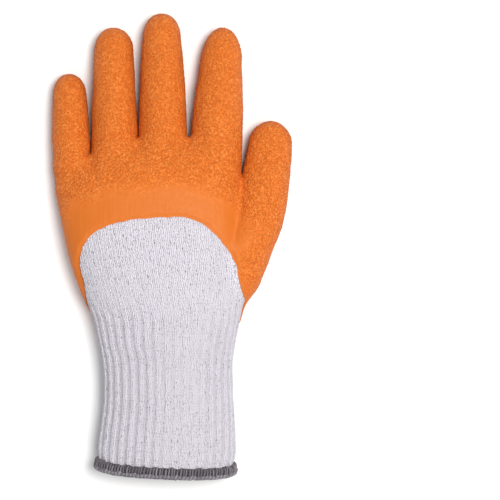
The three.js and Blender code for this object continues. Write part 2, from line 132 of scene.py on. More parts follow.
# The soft creases in the coating, in plan: start, end, depth, width. The last is beside the thumb.
CREASES = [
    ((-41.2, 163), (-37.5, 152), 0.9, 2.4),
    ((-15.8, 171), (-11.5, 162), 0.9, 2.4),
    ((11.0, 173), (12.5, 166), 0.4, 2.6),
    ((38.3, 160), (39.2, 122), 0.5, 1.6),
]
THUMB_FOLD = ((36.5, 114), (40.5, 80), 6.0)  # where the thumb's base is filled: start, end, half width
KNIT_START, KNIT_TOP = 0.4, WRIST + 78.0  # the knit runs from inside the hem to under the coating
WALES, WALE_POINTS = 3 * RIB_COUNT, 5  # columns of stitches round the cuff, and mesh points across each
COURSE, RING_STEP = 1.45, 0.58  # height of a row of stitches, and of a row of the mesh
RIB_CREST, FURROW_DEPTH, WALE_DEPTH, COURSE_DEPTH = 0.45, 0.85, 0.2, 0.03
BLEND_START, BLEND_END = WRIST - 14, WRIST - 4  # where the knit begins to follow the coating's form
SINK_NEAR, SINK_FAR = 0.5, 0.9  # how far the knit sinks just under the coating's edge, and more past it
STITCHES = 112  # round the hem
# The hem's section from its top outside to the lip, and from there to its top inside: height, and bulge.
HEM_OUTER = [(1.0, 0.0), (0.97, 0.45), (0.8, 0.85), (0.5, 1.0), (0.25, 0.95), (0.08, 0.7), (0.0, 0.2)]
HEM_INNER = [(-0.02, 0.0), (0.06, 0.6), (0.3, 1.0), (0.6, 1.0), (0.9, 0.8), (1.0, 0.0)]


def smoothstep(x, low, high):
    t = np.clip((np.asarray(x, float) - low) / (high - low), 0, 1)
    return t * t * (3 - 2 * t)


def lerp(a, b, t):
    return a + (b - a) * t


def cell_hash(cell, seed):
    """A number from 0 to 65535 for each cell of a grid, mixed by large odd factors."""
    x, y, z = cell.T
    h = (x * 73856093) ^ (y * 19349663) ^ (z * 83492791) ^ (seed * 7919 + 12345)
    h = (h ^ (h >> 13)) * 1274126177
    return (h ^ (h >> 16)) & 0xFFFF


DIRECTIONS = np.random.default_rng(5).normal(size=(256, 3))
DIRECTIONS /= np.linalg.norm(DIRECTIONS, axis=1)[:, None]


def noise(points, size, seed):
    """Gradient noise from about -1 to 1, whose lumps are about size across."""
    p = points / size
    base = np.floor(p).astype(np.int64)
    f = p - base
    w = f * f * f * (f * (f * 6 - 15) + 10)
    total = np.zeros(len(p))
    for corner in np.ndindex(2, 2, 2):
        k = np.array(corner)
        slope = DIRECTIONS[cell_hash(base + k, seed) & 255]
        weight = np.prod(np.where(k, w, 1 - w), axis=1)
        total += weight * ((f - k) * slope).sum(1)
    return total * 1.7


def section_rows():
    """The rows of both tables in millimetres."""
    cuff = np.array(CUFF_SECTIONS) * (CUFF_LENGTH, *[CUFF_WIDTH] * 2, *[CUFF_DEPTH] * 3, PALM_LENGTH)
    palm = np.array(PALM_SECTIONS) * (PALM_LENGTH, *[PALM_WIDTH] * 2, *[PALM_DEPTH] * 3, PALM_LENGTH)
    palm[:, 0] += WRIST
    return np.concatenate([cuff, palm])


ROWS = section_rows()


def sections(place):
    """left, right, top, mid, under and bow at each place, on a smooth curve through the rows."""
    t, v = ROWS[:, 0], ROWS[:, 1:]
    x = np.clip(np.atleast_1d(np.asarray(place, float)), t[0], t[-1])
    i = np.clip(np.searchsorted(t, x, side="right"), 1, len(t) - 1)
    t0, t1 = t[i - 1], t[i]
    half = (t1 - t0) / 2
    first, last = i == 1, i == len(t) - 1
    before, after = np.where(first, i, i - 2), np.where(last, i - 1, np.minimum(i + 1, len(t) - 1))
    wp, wn = half / (t0 - t[before]), half / (t[after] - t1)
    p = (x - t0) / (t1 - t0)
    p2, p3 = p**2, p**3
    parts = (
        (-wp * p3 + 2 * wp * p2 - wp * p, before),
        ((1 + wp) * p3 + (-1.5 - 2 * wp) * p2 + (-0.5 + wp) * p + 1, i - 1),
        ((-1 - wn) * p3 + (1.5 + wn) * p2 + 0.5 * p, i),
        (wn * p3 - wn * p2, after),
    )
    return sum(w[:, None] * v[k] for w, k in parts).T


def rest_height(x, y, outset):
    """The lowest height at a place: what the glove lies on, with the palm's hollow above it."""
    away = np.hypot(x - HOLLOW_CENTRE[0] * PALM_WIDTH, y - WRIST - HOLLOW_CENTRE[1] * PALM_LENGTH)
    return np.maximum(SKIN - outset, 0) + HOLLOW_RISE * (1 - smoothstep(away, 0, HOLLOW_RADIUS))


def body_points(place, turn, outset):
    """Points of the cuff and hand, outset by one distance or by one for each point. turn is 0 at the
    thumb's side and a quarter on the back of the hand."""
    turn = np.atleast_1d(np.asarray(turn, float))
    place = np.broadcast_to(np.asarray(place, float), turn.shape)
    left, right, top, mid, under, bow = sections(place)
    angle = 2 * np.pi * turn
    side = np.sign(np.cos(angle)) * np.abs(np.cos(angle)) ** SQUARENESS
    lift = np.sign(np.sin(angle)) * np.abs(np.sin(angle)) ** SQUARENESS
    half, centre = (right + left) / 2, (right - left) / 2
    x = centre + side * (half + outset)
    fade = 1 - smoothstep(place, 0, MOUTH_FADE)
    dip = np.where(lift > 0, MOUTH_DIP, MOUTH_DIP_PALM) * np.abs(lift)
    slant = MOUTH_SLANT * -x / CUFF_WIDTH
    push = outset * smoothstep(place, WRIST + WEB_START * PALM_LENGTH, KNUCKLES)
    y = place + push + (slant - dip) * fade - bow * (centre / half + side) ** 2
    z = SKIN + mid + lift * (np.where(lift > 0, top - mid, mid - under) + outset)
    return np.stack([x, y, np.maximum(z, rest_height(x, y, outset))], axis=-1)


def travelled(points):
    """How far each point is along the line through all of them."""
    return np.concatenate([[0], np.cumsum(np.linalg.norm(np.diff(points, axis=0), axis=1))])


def even_turns(place, shares):
    """The turns at these shares of the way round the section at a place."""
    fine = np.linspace(0, 1, EVEN_STEPS)
    way = travelled(body_points(place, fine, 0))
    return np.interp(np.mod(shares, 1), way / way[-1], fine)


def rib_share(place):
    return 1 - smoothstep(place, WRIST, WRIST + RIB_RUN_OUT)


def digit_rings(line, sizes, outset):
    """Rings along a digit, and its nose. line gives points in plan, and sizes are in millimetres."""
    steps, tip_steps, around = 44, 14, 56
    width, tip_width, tip_length, depth, tip_depth = sizes
    root_share = 0.25  # of the digit's length, where it swells from its root
    fine = np.linspace(0, 1, 400)
    line = np.array(line, float)
    knots = travelled(line) / travelled(line)[-1]
    if len(line) > 2:
        slopes = np.gradient(line, knots, axis=0)
        points = hermite(knots, line, slopes, fine)
    else:
        points = line[0] + (line[1] - line[0]) * fine[:, None]
    way = travelled(points)
    length = way[-1]
    heading = np.gradient(points, fine, axis=0)
    heading /= np.linalg.norm(heading, axis=1)[:, None]

    def at(values, share):
        return np.array([np.interp(share * length, way, values[:, k]) for k in range(2)])

    tube = 1 - tip_length / length

    def ring(centre, ahead, w, d, scale):
        across = np.array([ahead[1], -ahead[0]])
        angle = 2 * np.pi * np.arange(around) / around
        lift = np.sin(angle)
        reach = d * np.where(lift > 0, 1 - DIGIT_MID, DIGIT_MID + DIGIT_SAG) + outset
        xy = centre + np.cos(angle)[:, None] * across * (w / 2 + outset) * scale
        z = SKIN + d * DIGIT_MID + lift * reach * scale
        z = np.maximum(z, rest_height(xy[:, 0], xy[:, 1], outset) + DIGIT_LIFT)
        return np.column_stack([xy, z])

    rings = []
    for share in np.linspace(0, 1, steps + 1):
        ahead = at(heading, share * tube)
        centre = at(points, share * tube) - ahead * outset * max(0, 1 - share / root_share)
        narrowing = share**TAPER_POWER
        scale = lerp(ROOT_SCALE, 1, min(1, share / root_share))
        wide, deep = lerp(width, tip_width, narrowing), lerp(depth, tip_depth, narrowing)
        rings.append(ring(centre, ahead, wide, deep, scale))
    shoulder, ahead = at(points, tube), at(heading, 1)
    for i in range(1, tip_steps):
        angle = math.pi / 2 * i / tip_steps
        centre = shoulder + ahead * math.sin(angle) * (tip_length + outset)
        rings.append(ring(centre, ahead, tip_width, tip_depth, math.cos(angle)))
    nose = np.append(shoulder + ahead * (tip_length + outset), SKIN + tip_depth * DIGIT_MID)
    return rings, nose


def hermite(knots, values, slopes, x):
    """Points on the smooth curve through values at knots."""
    i = np.clip(np.searchsorted(knots, x, side="right") - 1, 0, len(knots) - 2)
    h = (knots[i + 1] - knots[i])[:, None]
    t = ((x - knots[i])[:, None]) / h
    a, b, c, d = 2 * t**3 - 3 * t**2 + 1, t**3 - 2 * t**2 + t, -2 * t**3 + 3 * t**2, t**3 - t**2
    return a * values[i] + b * h * slopes[i] + c * values[i + 1] + d * h * slopes[i + 1]


def on_palm(rows):
    """Points in plan from shares of the palm."""
    return np.array([(a * PALM_WIDTH, WRIST + b * PALM_LENGTH) for a, b in rows])


def digit_lines():
    """Each digit's line in plan, and its sizes in millimetres."""
    lines = {}
    for name, (root, tip, reach, *shares) in FINGERS.items():
        start = (root * PALM_WIDTH, KNUCKLES - FINGER_ROOT)
        end = (tip * PALM_WIDTH, KNUCKLES + reach * FINGER_LENGTH)
        lines[name] = ([start, end], np.array(shares) * ([FINGER_WIDTH] * 3 + [FINGER_DEPTH] * 2))
    lines["thumb"] = (on_palm(THUMB_LINE), np.array(THUMB) * ([THUMB_WIDTH] * 3 + [THUMB_DEPTH] * 2))
    return lines


def new_object(name, data):
    """A new object in the scene."""
    made = bpy.data.objects.new(name, data)
    bpy.context.scene.collection.objects.link(made)
    return made


def values_of(items, name, kind, width=1):
    """One property of all of a mesh's points, corners or faces."""
    values = np.empty(len(items) * width, kind)
    items.foreach_get(name, values)
    return values


def make_mesh(name, points, faces, moved=True):
    """A mesh from points in millimetres and arrays of faces with 3 or 4 corners."""
    mesh = bpy.data.meshes.new(name)
    placed = (np.asarray(points) + (SHIFT if moved else 0)) * MM
    mesh.vertices.add(len(placed))
    mesh.vertices.foreach_set("co", placed.astype(np.float32).ravel())
    sizes = np.concatenate([np.full(len(f), f.shape[1]) for f in faces])
    mesh.loops.add(int(sizes.sum()))
    mesh.loops.foreach_set("vertex_index", np.concatenate([f.ravel() for f in faces]).astype(np.int32))
    mesh.polygons.add(len(sizes))
    mesh.polygons.foreach_set("loop_start", (np.cumsum(sizes) - sizes).astype(np.int32))
    mesh.polygons.foreach_set("use_smooth", np.ones(len(sizes), bool))
    mesh.update(calc_edges=True)
    mesh.validate()
    return mesh


def make_piece(mesh, material, nodes):
    """The object of a mesh, which rides on the glove and takes the place of CAD nodes."""
    piece = new_object(mesh.name, mesh)
    mesh.materials.append(material)
    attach(piece, "root")
    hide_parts(*nodes)


def set_attribute(mesh, name, values):
    """One number a point, for the materials."""
    attribute = mesh.attributes.new(name, "FLOAT", "POINT")
    attribute.data.foreach_set("value", np.asarray(values, np.float32))


def vertex_normals(points, faces):
    """Each point's outward direction, averaged over its faces by their area."""
    total = np.zeros_like(points)
    for f in faces:
        a, b, c = points[f[:, 0]], points[f[:, 1]], points[f[:, 2]]
        n = np.cross(b - a, c - a) if f.shape[1] == 3 else np.cross(c - a, points[f[:, 3]] - b)
        for k in range(f.shape[1]):
            for axis in range(3):
                total[:, axis] += np.bincount(f[:, k], n[:, axis], len(points))
    return total / np.maximum(np.linalg.norm(total, axis=1), 1e-12)[:, None]


def along_line(points, start, end):
    """Each point's distance in plan from a straight line, and its share of the way along it."""
    a, d = np.array(start, float), np.subtract(end, start).astype(float)
    t = np.clip(((points[:, :2] - a) @ d) / (d @ d), 0, 1)
    return np.linalg.norm(points[:, :2] - a - t[:, None] * d, axis=1), t


def softened(points, edges):
    """The form with the backs of the finger roots, and the fold at the thumb's base, smoothed."""
    rounds, strength, least = 260, 0.6, 0.02
    along, up = points[:, 1] - KNUCKLES, points[:, 2]
    near = smoothstep(up, 11, 19) * smoothstep(along, -46, -26) * (1 - smoothstep(along, 2, 14))
    start, end, half = THUMB_FOLD
    fold = np.exp(-((along_line(points, start, end)[0] / half) ** 4)) * smoothstep(up, 7, 12)
    near = np.maximum(near, np.where(fold > least, fold, 0))
    chosen = np.flatnonzero(near > 0)
    inside = np.zeros(len(points), bool)
    inside[chosen] = True
    local = edges[inside[edges].all(1)]
    lookup = np.full(len(points), -1)
    lookup[chosen] = np.arange(len(chosen))
    points = points.copy()
    points[chosen] = smoothed(points[chosen], lookup[local], rounds, near[chosen, None] * strength)
    return points


def edges_of(faces):
    """Each pair of points that share an edge, once."""
    pairs = [np.stack([f, np.roll(f, -1, axis=1)], axis=-1).reshape(-1, 2) for f in faces]
    return np.unique(np.sort(np.concatenate(pairs), axis=1), axis=0)


def smoothed(points, edges, rounds, weight=0.5):
    """Each point moves towards the middle of its neighbours."""
    n = len(points)
    a, b = edges[:, 0], edges[:, 1]
    count = np.maximum(np.bincount(edges.ravel(), minlength=n), 1)[:, None]
    for _ in range(rounds):
        total = [np.bincount(a, points[b, k], n) + np.bincount(b, points[a, k], n) for k in range(3)]
        points = lerp(points, np.stack(total, axis=1) / count, weight)
    return points


def ring_faces(rings, around, first=0):
    """The quads between rings of equal length, one after another."""
    i, j = np.meshgrid(np.arange(rings - 1), np.arange(around), indexing="ij")
    a, b = first + i * around, (j + 1) % around
    return np.stack([a + j, a + b, a + around + b, a + around + j], axis=-1).reshape(-1, 4)


def loft(rings, nose=None):
    """Points, and quads and triangles, of a closed form through rings."""
    around = len(rings[0])
    start = rings[0].mean(0)
    end = rings[-1].mean(0) if nose is None else nose
    points = np.concatenate([*rings, [start], [end]])
    k = np.arange(around)
    n = len(rings) * around
    last = n - around
    fans = [
        np.stack([np.full(around, n), (k + 1) % around, k], axis=-1),
        np.stack([np.full(around, n + 1), last + k, last + (k + 1) % around], axis=-1),
    ]
    return points, [ring_faces(len(rings), around), np.concatenate(fans)]


def envelope():
    """The glove's outer form as one fine closed surface: points and quads."""
    forms = []
    lower = np.linspace(-2, WRIST + 80, 60)
    upper = WRIST + PALM_LENGTH * np.linspace(0.79, 1, 24)
    turns = np.arange(220) / 220
    forms.append(loft([body_points(p, even_turns(p, turns), SKIN) for p in (*lower, *upper)]))
    for line, sizes in digit_lines().values():
        forms.append(loft(*digit_rings(line, sizes, SKIN)))
    points, quads, triangles, count = [], [], [], 0
    for p, (q, t) in forms:
        points.append(p)
        quads.append(q + count)
        triangles.append(t + count)
        count += len(p)
    faces = [np.concatenate(quads), np.concatenate(triangles)]
    mesh = make_mesh("form", np.concatenate(points), faces, moved=False)
    form = new_object("form", mesh)
    remesh = form.modifiers.new("voxels", "REMESH")
    remesh.mode, remesh.voxel_size = "VOXEL", VOXEL * MM
    fine = bpy.data.meshes.new_from_object(form.evaluated_get(bpy.context.evaluated_depsgraph_get()))
    points = values_of(fine.vertices, "co", np.float32, 3).reshape(-1, 3).astype(float) / MM
    quads = values_of(fine.loops, "vertex_index", np.int32).reshape(-1, 4).astype(np.int64)
    bpy.data.objects.remove(form)
    bpy.data.meshes.remove(fine)
    return points, quads


def polyline(rows, count=140):
    """A smooth line in plan through rows of shares of the palm."""
    line = on_palm(rows)
    knots = np.arange(len(line), dtype=float)
    slopes = np.gradient(line, knots, axis=0)
    return hermite(knots, line, slopes, np.linspace(0, knots[-1], count))


def beyond(xy, line):
    """Distance from a line across the hand, positive on the fingers' side."""
    far, low, batch = PALM_WIDTH * 1.5, -300, 20000
    closed = np.concatenate([[(-far, line[0, 1])], line, [(far, line[-1, 1])]])
    fenced = np.concatenate([closed, [(far, low), (-far, low)]])
    out = np.empty(len(xy))
    for s in range(0, len(xy), batch):
        p = xy[s : s + batch, None, :]
        a, b = closed[None, :-1], closed[None, 1:]
        d = b - a
        t = np.clip(((p - a) * d).sum(-1) / (d * d).sum(-1), 0, 1)
        near = np.linalg.norm(p - a - t[..., None] * d, axis=-1).min(1)
        a, b = fenced[None], np.roll(fenced, -1, axis=0)[None]
        crosses = (a[..., 1] > p[..., 1]) != (b[..., 1] > p[..., 1])
        run = np.where(b[..., 1] == a[..., 1], 1, b[..., 1] - a[..., 1])
        left = p[..., 0] < (b[..., 0] - a[..., 0]) * (p[..., 1] - a[..., 1]) / run + a[..., 0]
        inside = (crosses & left).sum(1) % 2 == 1
        out[s : s + batch] = np.where(inside, -near, near)
    return out


def rib_phase(points):
    """How many ribs round the hand a point under the palm is, where the latex ends over the ribs."""
    step = 2.0
    places = np.arange(WRIST - 16, WRIST + 34, step)
    shares = np.linspace(0.5, 1, 240)
    rows = []
    for place in places:
        x = body_points(place, even_turns(place, np.minimum(shares, 0.9999)), 0)[:, 0]
        rows.append(np.interp(points[:, 0], x, shares * RIB_COUNT))
    rows, each = np.array(rows), np.arange(len(points))
    k = np.clip((points[:, 1] - places[0]) / step, 0, len(places) - 1.001)
    i = k.astype(int)
    return lerp(rows[i, each], rows[i + 1, each], k - i)


def latex_field(points, phase):
    """Distance into the latex from its edge, over the surface: negative where the knit is bare. After it
    come the distances from the edges on the back and the palm, and how much the back's counts."""
    xy = points[:, :2]
    back = beyond(xy, polyline(BACK_EDGE)) + 0.35 * noise(points, 5.0, 11) + 0.2 * noise(points, 1.6, 12)
    teeth = TOOTH_LENGTH * np.cos(2 * np.pi * phase) + 0.5 * noise(points, 2.2, 14)
    palm = beyond(xy, polyline(PALM_EDGE)) + teeth + 0.8 * noise(points, 12.0, 13)
    weight = smoothstep(points[:, 2], SIDE_HEIGHT - 3.5, SIDE_HEIGHT + 1.5)
    return lerp(palm, back, weight), back, palm, weight


def crinkle(points):
    """The wrinkled grain of the latex, from about -1 in its furrows to 1 on its crests."""
    bent = points + np.stack([noise(points, 2.6, s) for s in (21, 22, 23)], axis=1) * 0.8
    broad = 1 - 2.2 * np.abs(noise(bent, 2.3, 24))
    fine = 1 - 2.2 * np.abs(noise(bent, 1.5, 25))
    lumps = noise(points, 1.2, 26)
    return 0.3 * broad + 0.4 * fine + 0.5 * lumps


def cut(points, faces, field, extra):
    """The part of a surface of triangles where the field is positive, cut along its zero line. The values
    of extra are carried to the new points."""
    sign = field >= 0
    corners = sign[faces]
    inside = corners.all(1)
    mixed = faces[corners.any(1) & ~inside]
    count = sign[mixed].sum(1)
    lone = np.where(count[:, None] == 1, sign[mixed], ~sign[mixed]).argmax(1)
    order = np.stack([lone, (lone + 1) % 3, (lone + 2) % 3], axis=1)
    tri = np.take_along_axis(mixed, order, axis=1)
    pairs = np.concatenate([tri[:, [0, 1]], tri[:, [0, 2]]])
    unique, back = np.unique(np.sort(pairs, axis=1), axis=0, return_inverse=True)
    back = back.ravel()
    a, b = unique[:, 0], unique[:, 1]
    t = field[a] / (field[a] - field[b])
    fresh = lerp(points[a], points[b], t[:, None])
    n = len(points)
    e1, e2 = n + back[: len(tri)], n + back[len(tri) :]
    one = count == 1
    made = [
        faces[inside],
        np.stack([tri[one, 0], e1[one], e2[one]], axis=1),
        np.stack([e1[~one], tri[~one, 1], tri[~one, 2]], axis=1),
        np.stack([e1[~one], tri[~one, 2], e2[~one]], axis=1),
    ]
    points = np.concatenate([points, fresh])
    extra = [np.concatenate([v, lerp(v[a], v[b], t if v.ndim == 1 else t[:, None])]) for v in extra]
    return points, np.concatenate(made), extra


def border(faces):
    """The directed edges that only one triangle has."""
    pairs = np.concatenate([faces[:, [0, 1]], faces[:, [1, 2]], faces[:, [2, 0]]])
    n = pairs.max() + 1
    key, twin = pairs[:, 0] * n + pairs[:, 1], pairs[:, 1] * n + pairs[:, 0]
    return pairs[~np.isin(key, twin)]


def kept(points, faces, extra):
    """Only the points that the faces use."""
    used = np.unique(faces)
    new = np.full(len(points), -1)
    new[used] = np.arange(len(used))
    return points[used], new[faces], [v[used] for v in extra]


def coating_form():
    """The coating's outer form, without its grain: points, quads and normals."""
    rounds, last_rounds = 26, 4
    points, quads = envelope()
    edges = edges_of([quads])
    points = softened(smoothed(points, edges, rounds), edges)
    points = smoothed(points, edges, last_rounds)
    normals = vertex_normals(points, [quads])
    return points + normals * COATING_LIFT, quads, normals


def latex_surface(points, quads, normals):
    """The whole coating: points, triangles, and each point's normal, its grain, how far it is out of the
    smooth band, and how far it is on the palm's side."""
    phase = rib_phase(points)
    field, back, palm, upper = latex_field(points, phase)

    # The grain is missing in the smooth band along the arch, and fades out towards the palm's edge.
    height = smoothstep(points[:, 1], WRIST + 0.3 * PALM_LENGTH, WRIST + 0.58 * PALM_LENGTH)
    reach, fade = lerp(BAND_LOW, BAND_TOP, height), lerp(FADE_LOW, FADE_TOP, height)
    wander = 3.0 * noise(points, 14.0, 31) + noise(points, 4.0, 36)
    band = smoothstep(back + wander, reach - 4.0, reach + fade)
    grip = lerp(smoothstep(palm, 3.0, 14.0), band, upper)
    # Past the band, some of the grain runs in arcs beside it.
    arcs = np.cos(2 * np.pi * (back / 2.3 + 0.7 * noise(points, 6.0, 34))) * noise(points, 3.5, 35)
    arcs *= upper * smoothstep(back, 12.0, 16.0) * (1 - smoothstep(back, 26.0, 34.0))
    grain = crinkle(points) + 0.4 * arcs
    rough = 0.6 + 0.4 * smoothstep(noise(points, 9.0, 33), -0.5, 0.6)
    under = 1 - upper
    relief = grain * lerp(GRAIN_BAND, lerp(GRAIN_BACK, GRAIN_PALM, under), grip) * rough
    relief += 0.25 * noise(points, 11.0, 32) * (0.4 + 0.6 * grip)
    # Fine lines of the knit below show through the smooth band.
    relief += 0.07 * noise(points * (1, 0.06, 1), 1.7, 37) * (1 - grip) * smoothstep(back, 0.5, 3.0)
    ribs = (0.5 - 0.5 * np.cos(2 * np.pi * phase)) * (1 - smoothstep(palm, 2.0, 16.0)) * under
    thin = THINNING * (1 - smoothstep(field, 0.0, THINNING_WIDTH))
    relief -= thin + 0.4 * ribs + creases(points)
    points = points + normals * relief[:, None]
    points[:, 2] = np.maximum(points[:, 2], 0.02)

    triangles = np.concatenate([quads[:, [0, 1, 2]], quads[:, [0, 2, 3]]])
    normals = vertex_normals(points, [triangles])
    return kept(*cut(points, triangles, field, [normals, grain * grip * rough, band, under]))


def creases(points):
    """How deep a point lies in the soft creases at the webs and beside the thumb."""
    depth = np.zeros(len(points))
    for start, end, deep, wide in CREASES:
        away, t = along_line(points, start, end)
        depth += deep * np.exp(-((away / wide) ** 2)) * (1 - t) ** 0.7
    return depth * smoothstep(points[:, 2], 10, 18)


def latex_piece(name, triangles, points, extra, edge, material):
    """One piece of the coating, with a skirt that turns in along its part of the coating's edge."""
    mine, faces, (normals, *values) = kept(points, triangles, extra)
    n = len(points)
    lookup = np.full(n, -1)
    lookup[np.unique(triangles)] = np.arange(len(mine))
    held = np.concatenate([triangles[:, [0, 1]], triangles[:, [1, 2]], triangles[:, [2, 0]]])
    rim = lookup[edge[np.isin(edge[:, 0] * n + edge[:, 1], held[:, 0] * n + held[:, 1])]]
    ends = np.unique(rim)
    place = np.full(len(mine), -1)
    place[ends] = len(mine) + np.arange(len(ends))
    skirts = np.stack([rim[:, 1], rim[:, 0], place[rim[:, 0]], place[rim[:, 1]]], axis=1)
    with_skirt = np.concatenate([mine, mine[ends] - normals[ends] * SKIRT])
    mesh = make_mesh(name + "_coating", with_skirt, [faces, skirts] if len(skirts) else [faces])
    for attribute, value in zip(("grain", "band", "under"), values):
        set_attribute(mesh, attribute, np.concatenate([value, value[ends]]))
    mesh.normals_split_custom_set_from_vertices(np.concatenate([normals, normals[ends]]).tolist())
    make_piece(mesh, material, ["latex_" + name])


def build_latex(material, form):
    """The coating in seven pieces, parted at the webs and along the sides of the hand."""
    points, triangles, extra = latex_surface(*form)
    middles = points[triangles].mean(1)
    on_digit = beyond(middles[:, :2], on_palm(WEB_LINE)) > 0
    hand = np.where(middles[:, 2] > SIDE_HEIGHT, "knuckles", "palm")
    digits = list(digit_lines())
    owner = np.where(on_digit, np.array(digits)[np.searchsorted(DIGIT_LIMITS, middles[:, 0])], hand)
    edge = border(triangles)
    for name in ("palm", "knuckles", *digits):
        latex_piece(name, triangles[owner == name], points, extra, edge, material)


def grid_normals(grid):
    """Normals of a surface of rings, pointing out."""
    n = np.cross(np.gradient(grid, axis=0), np.roll(grid, -1, axis=1) - np.roll(grid, 1, axis=1))
    return n / np.maximum(np.linalg.norm(n, axis=-1), 1e-9)[..., None]


def rib_furrow(share, place):
    """How deep in a furrow between ribs a point is, from 0 to 1. The back's ribs are flatter."""
    middle, half = 0.2, 0.085  # of the flatter ribs, in shares of the way round
    flat = 1 - 0.75 * np.exp(-(((share - middle) / half) ** 4))
    return rib_share(place) * flat * (0.5 - 0.5 * np.cos(2 * np.pi * share * RIB_COUNT)) ** 1.3


def knit_relief(share, place):
    """Height of the ribs and the stitch columns, in millimetres."""
    furrow = rib_furrow(share, place)
    wale = np.abs(np.sin(np.pi * share * WALES))
    course = np.cos(2 * np.pi * place / COURSE)
    jersey = -WALE_DEPTH * (1 - 0.4 * rib_share(place)) * (1 - wale) ** 2
    crests = RIB_CREST * rib_share(place) * smoothstep(place, HEM_HEIGHT - 3.0, HEM_HEIGHT + 3.0)
    return crests - FURROW_DEPTH * furrow + jersey + COURSE_DEPTH * course * (1 - 0.6 * furrow)


def pushed(grid, tree, places):
    """The knit, moved out to lie just inside the coating's form where the thumb swells from the hand."""
    before, farthest = 3, 60.0  # where a ray starts inside the knit, and how far it looks
    moves = np.zeros_like(grid)
    middles = grid.mean(1)
    for i in np.flatnonzero(places > BLEND_START):
        for j in range(grid.shape[1]):
            point = grid[i, j]
            out = (point - middles[i]) * (1, 0, 1)
            out /= np.linalg.norm(out)
            hit, normal, _, _ = tree.ray_cast((point - before * out).tolist(), out.tolist(), farthest)
            if hit is not None:
                moves[i, j] = np.array(hit) - np.array(normal) * SKIN - point
    for _ in range(3):
        moves = (moves + np.roll(moves, 1, axis=1) + np.roll(moves, -1, axis=1)) / 3
        moves[1:-1] = (moves[:-2] + moves[1:-1] + moves[2:]) / 3
    weight = smoothstep(places, BLEND_START, BLEND_END)[:, None, None]
    grid = grid + moves * weight
    for _ in range(10):
        soft = (np.roll(grid, 1, axis=1) + np.roll(grid, -1, axis=1)) / 4 + grid / 2
        soft[1:-1] = (soft[:-2] + soft[2:]) / 4 + soft[1:-1] / 2
        grid = lerp(grid, soft, weight)
    return grid


def knit_sheet(places, around, outset):
    """The bare form of the knit as a grid: its rings, and the points of each."""
    shares = np.arange(around) / around
    return np.stack([body_points(p, even_turns(p, shares), outset) for p in places])


def outer_knit(places, around, tree):
    """The knit's outside, with its ribs and stitches, sunk where the coating covers it."""
    grid = pushed(knit_sheet(places, around, 0), tree, places)
    s, p = np.meshgrid(np.arange(around) / around, places)
    lumps = 0.22 * noise(np.stack([s * 60, p / 4.0, np.zeros_like(p)], axis=-1).reshape(-1, 3), 2.2, 41)
    flat = grid.reshape(-1, 3)
    field = latex_field(flat, rib_phase(flat))[0]
    sunk = SINK_NEAR * smoothstep(field, -0.2, 1.5) + SINK_FAR * smoothstep(field, 1.5, 5.0)
    height = knit_relief(s, p) + (lumps - sunk).reshape(s.shape)
    return grid + grid_normals(grid) * height[..., None]


def mouth_rim(around, inside, first):
    """Quads and triangles from the knit's outer edge to its inner one, with a third of the points."""
    k = np.arange(around)
    lower, upper = first + (k // 3) % inside, first + ((k + 1) // 3) % inside
    rim = np.stack([lower, upper, (k + 1) % around, k], axis=-1)
    return rim[lower != upper], rim[lower == upper][:, [0, 2, 3]]


def stitch_places(places, around):
    """Each point's place in columns and rows of stitches."""
    columns = np.arange(around) / around * WALES
    return np.stack(np.meshgrid(columns, places / COURSE), axis=-1).reshape(-1, 2)


def knit_piece(name, places, nodes, tree, material):
    """A stretch of the knit with its outside and inside, and at the mouth the rim between them."""
    around, inside = WALE_POINTS * WALES, WALE_POINTS * WALES // 3
    inner_places = np.linspace(places[0], places[-1], max(8, int((places[-1] - places[0]) / 2.5)))
    outer = outer_knit(places, around, tree).reshape(-1, 3)
    inner = knit_sheet(inner_places, inside, -KNIT).reshape(-1, 3)
    faces = [ring_faces(len(places), around), ring_faces(len(inner_places), inside, len(outer))[:, ::-1]]
    if places[0] == KNIT_START:
        quads, triangles = mouth_rim(around, inside, len(outer))
        faces = [np.concatenate([*faces, quads]), triangles]
    mesh = make_mesh(name, np.concatenate([outer, inner]), faces)
    outer_uv, inner_uv = stitch_places(places, around), stitch_places(inner_places, inside)
    set_knit_uv(mesh, np.concatenate([outer_uv, inner_uv]))
    furrow = rib_furrow(outer_uv[:, 0] / WALES, outer_uv[:, 1] * COURSE)
    # The furrow number paints shade in the rib furrows, and a fixed share of that shade on the knit's
    # inside.
    set_attribute(mesh, "furrow", np.concatenate([furrow, np.full(len(inner), 0.4)]))
    make_piece(mesh, material, nodes)


def build_knit(material, form):
    """The knit in two pieces, which meet at one ring."""
    tree = BVHTree.FromPolygons(form[0].tolist(), form[1].tolist())
    cuff = np.arange(KNIT_START, WRIST + 0.01, RING_STEP)
    hand = np.arange(WRIST - 0.2, KNIT_TOP, RING_STEP)
    hand = np.concatenate([[cuff[-1]], hand[hand > cuff[-1] + 0.1]])
    knit_piece("cuff_rib", cuff, ["knit_cuff"], tree, material)
    knit_piece("hand_jersey", hand, ["knit_palm", "knit_back"], tree, material)


def set_knit_uv(mesh, per_point):
    """The stitch coordinates, with the faces that close a ring carried past the last wale."""
    layer = mesh.uv_layers.new(name="stitches")
    sizes = values_of(mesh.polygons, "loop_total", np.int32)
    uv = per_point[values_of(mesh.loops, "vertex_index", np.int32)].astype(np.float32)
    owner = np.repeat(np.arange(len(sizes)), sizes)
    high = np.zeros(len(sizes), np.float32)
    np.maximum.at(high, owner, uv[:, 0])
    wraps = (high[owner] > WALES * 0.75) & (uv[:, 0] < WALES * 0.25)
    uv[wraps, 0] += WALES
    layer.data.foreach_set("uv", uv.ravel())


def hem_rows():
    """Height and distance out of the corners of the hem's section."""
    outer = [(up, 0.35 + bulge * (HEM_OUTSIDE - 0.3)) for up, bulge in HEM_OUTER]
    inner = [(up, -KNIT - 0.2 - bulge * HEM_INSIDE * 0.85) for up, bulge in HEM_INNER]
    return np.array(outer + inner)


HEM_ROWS = hem_rows()


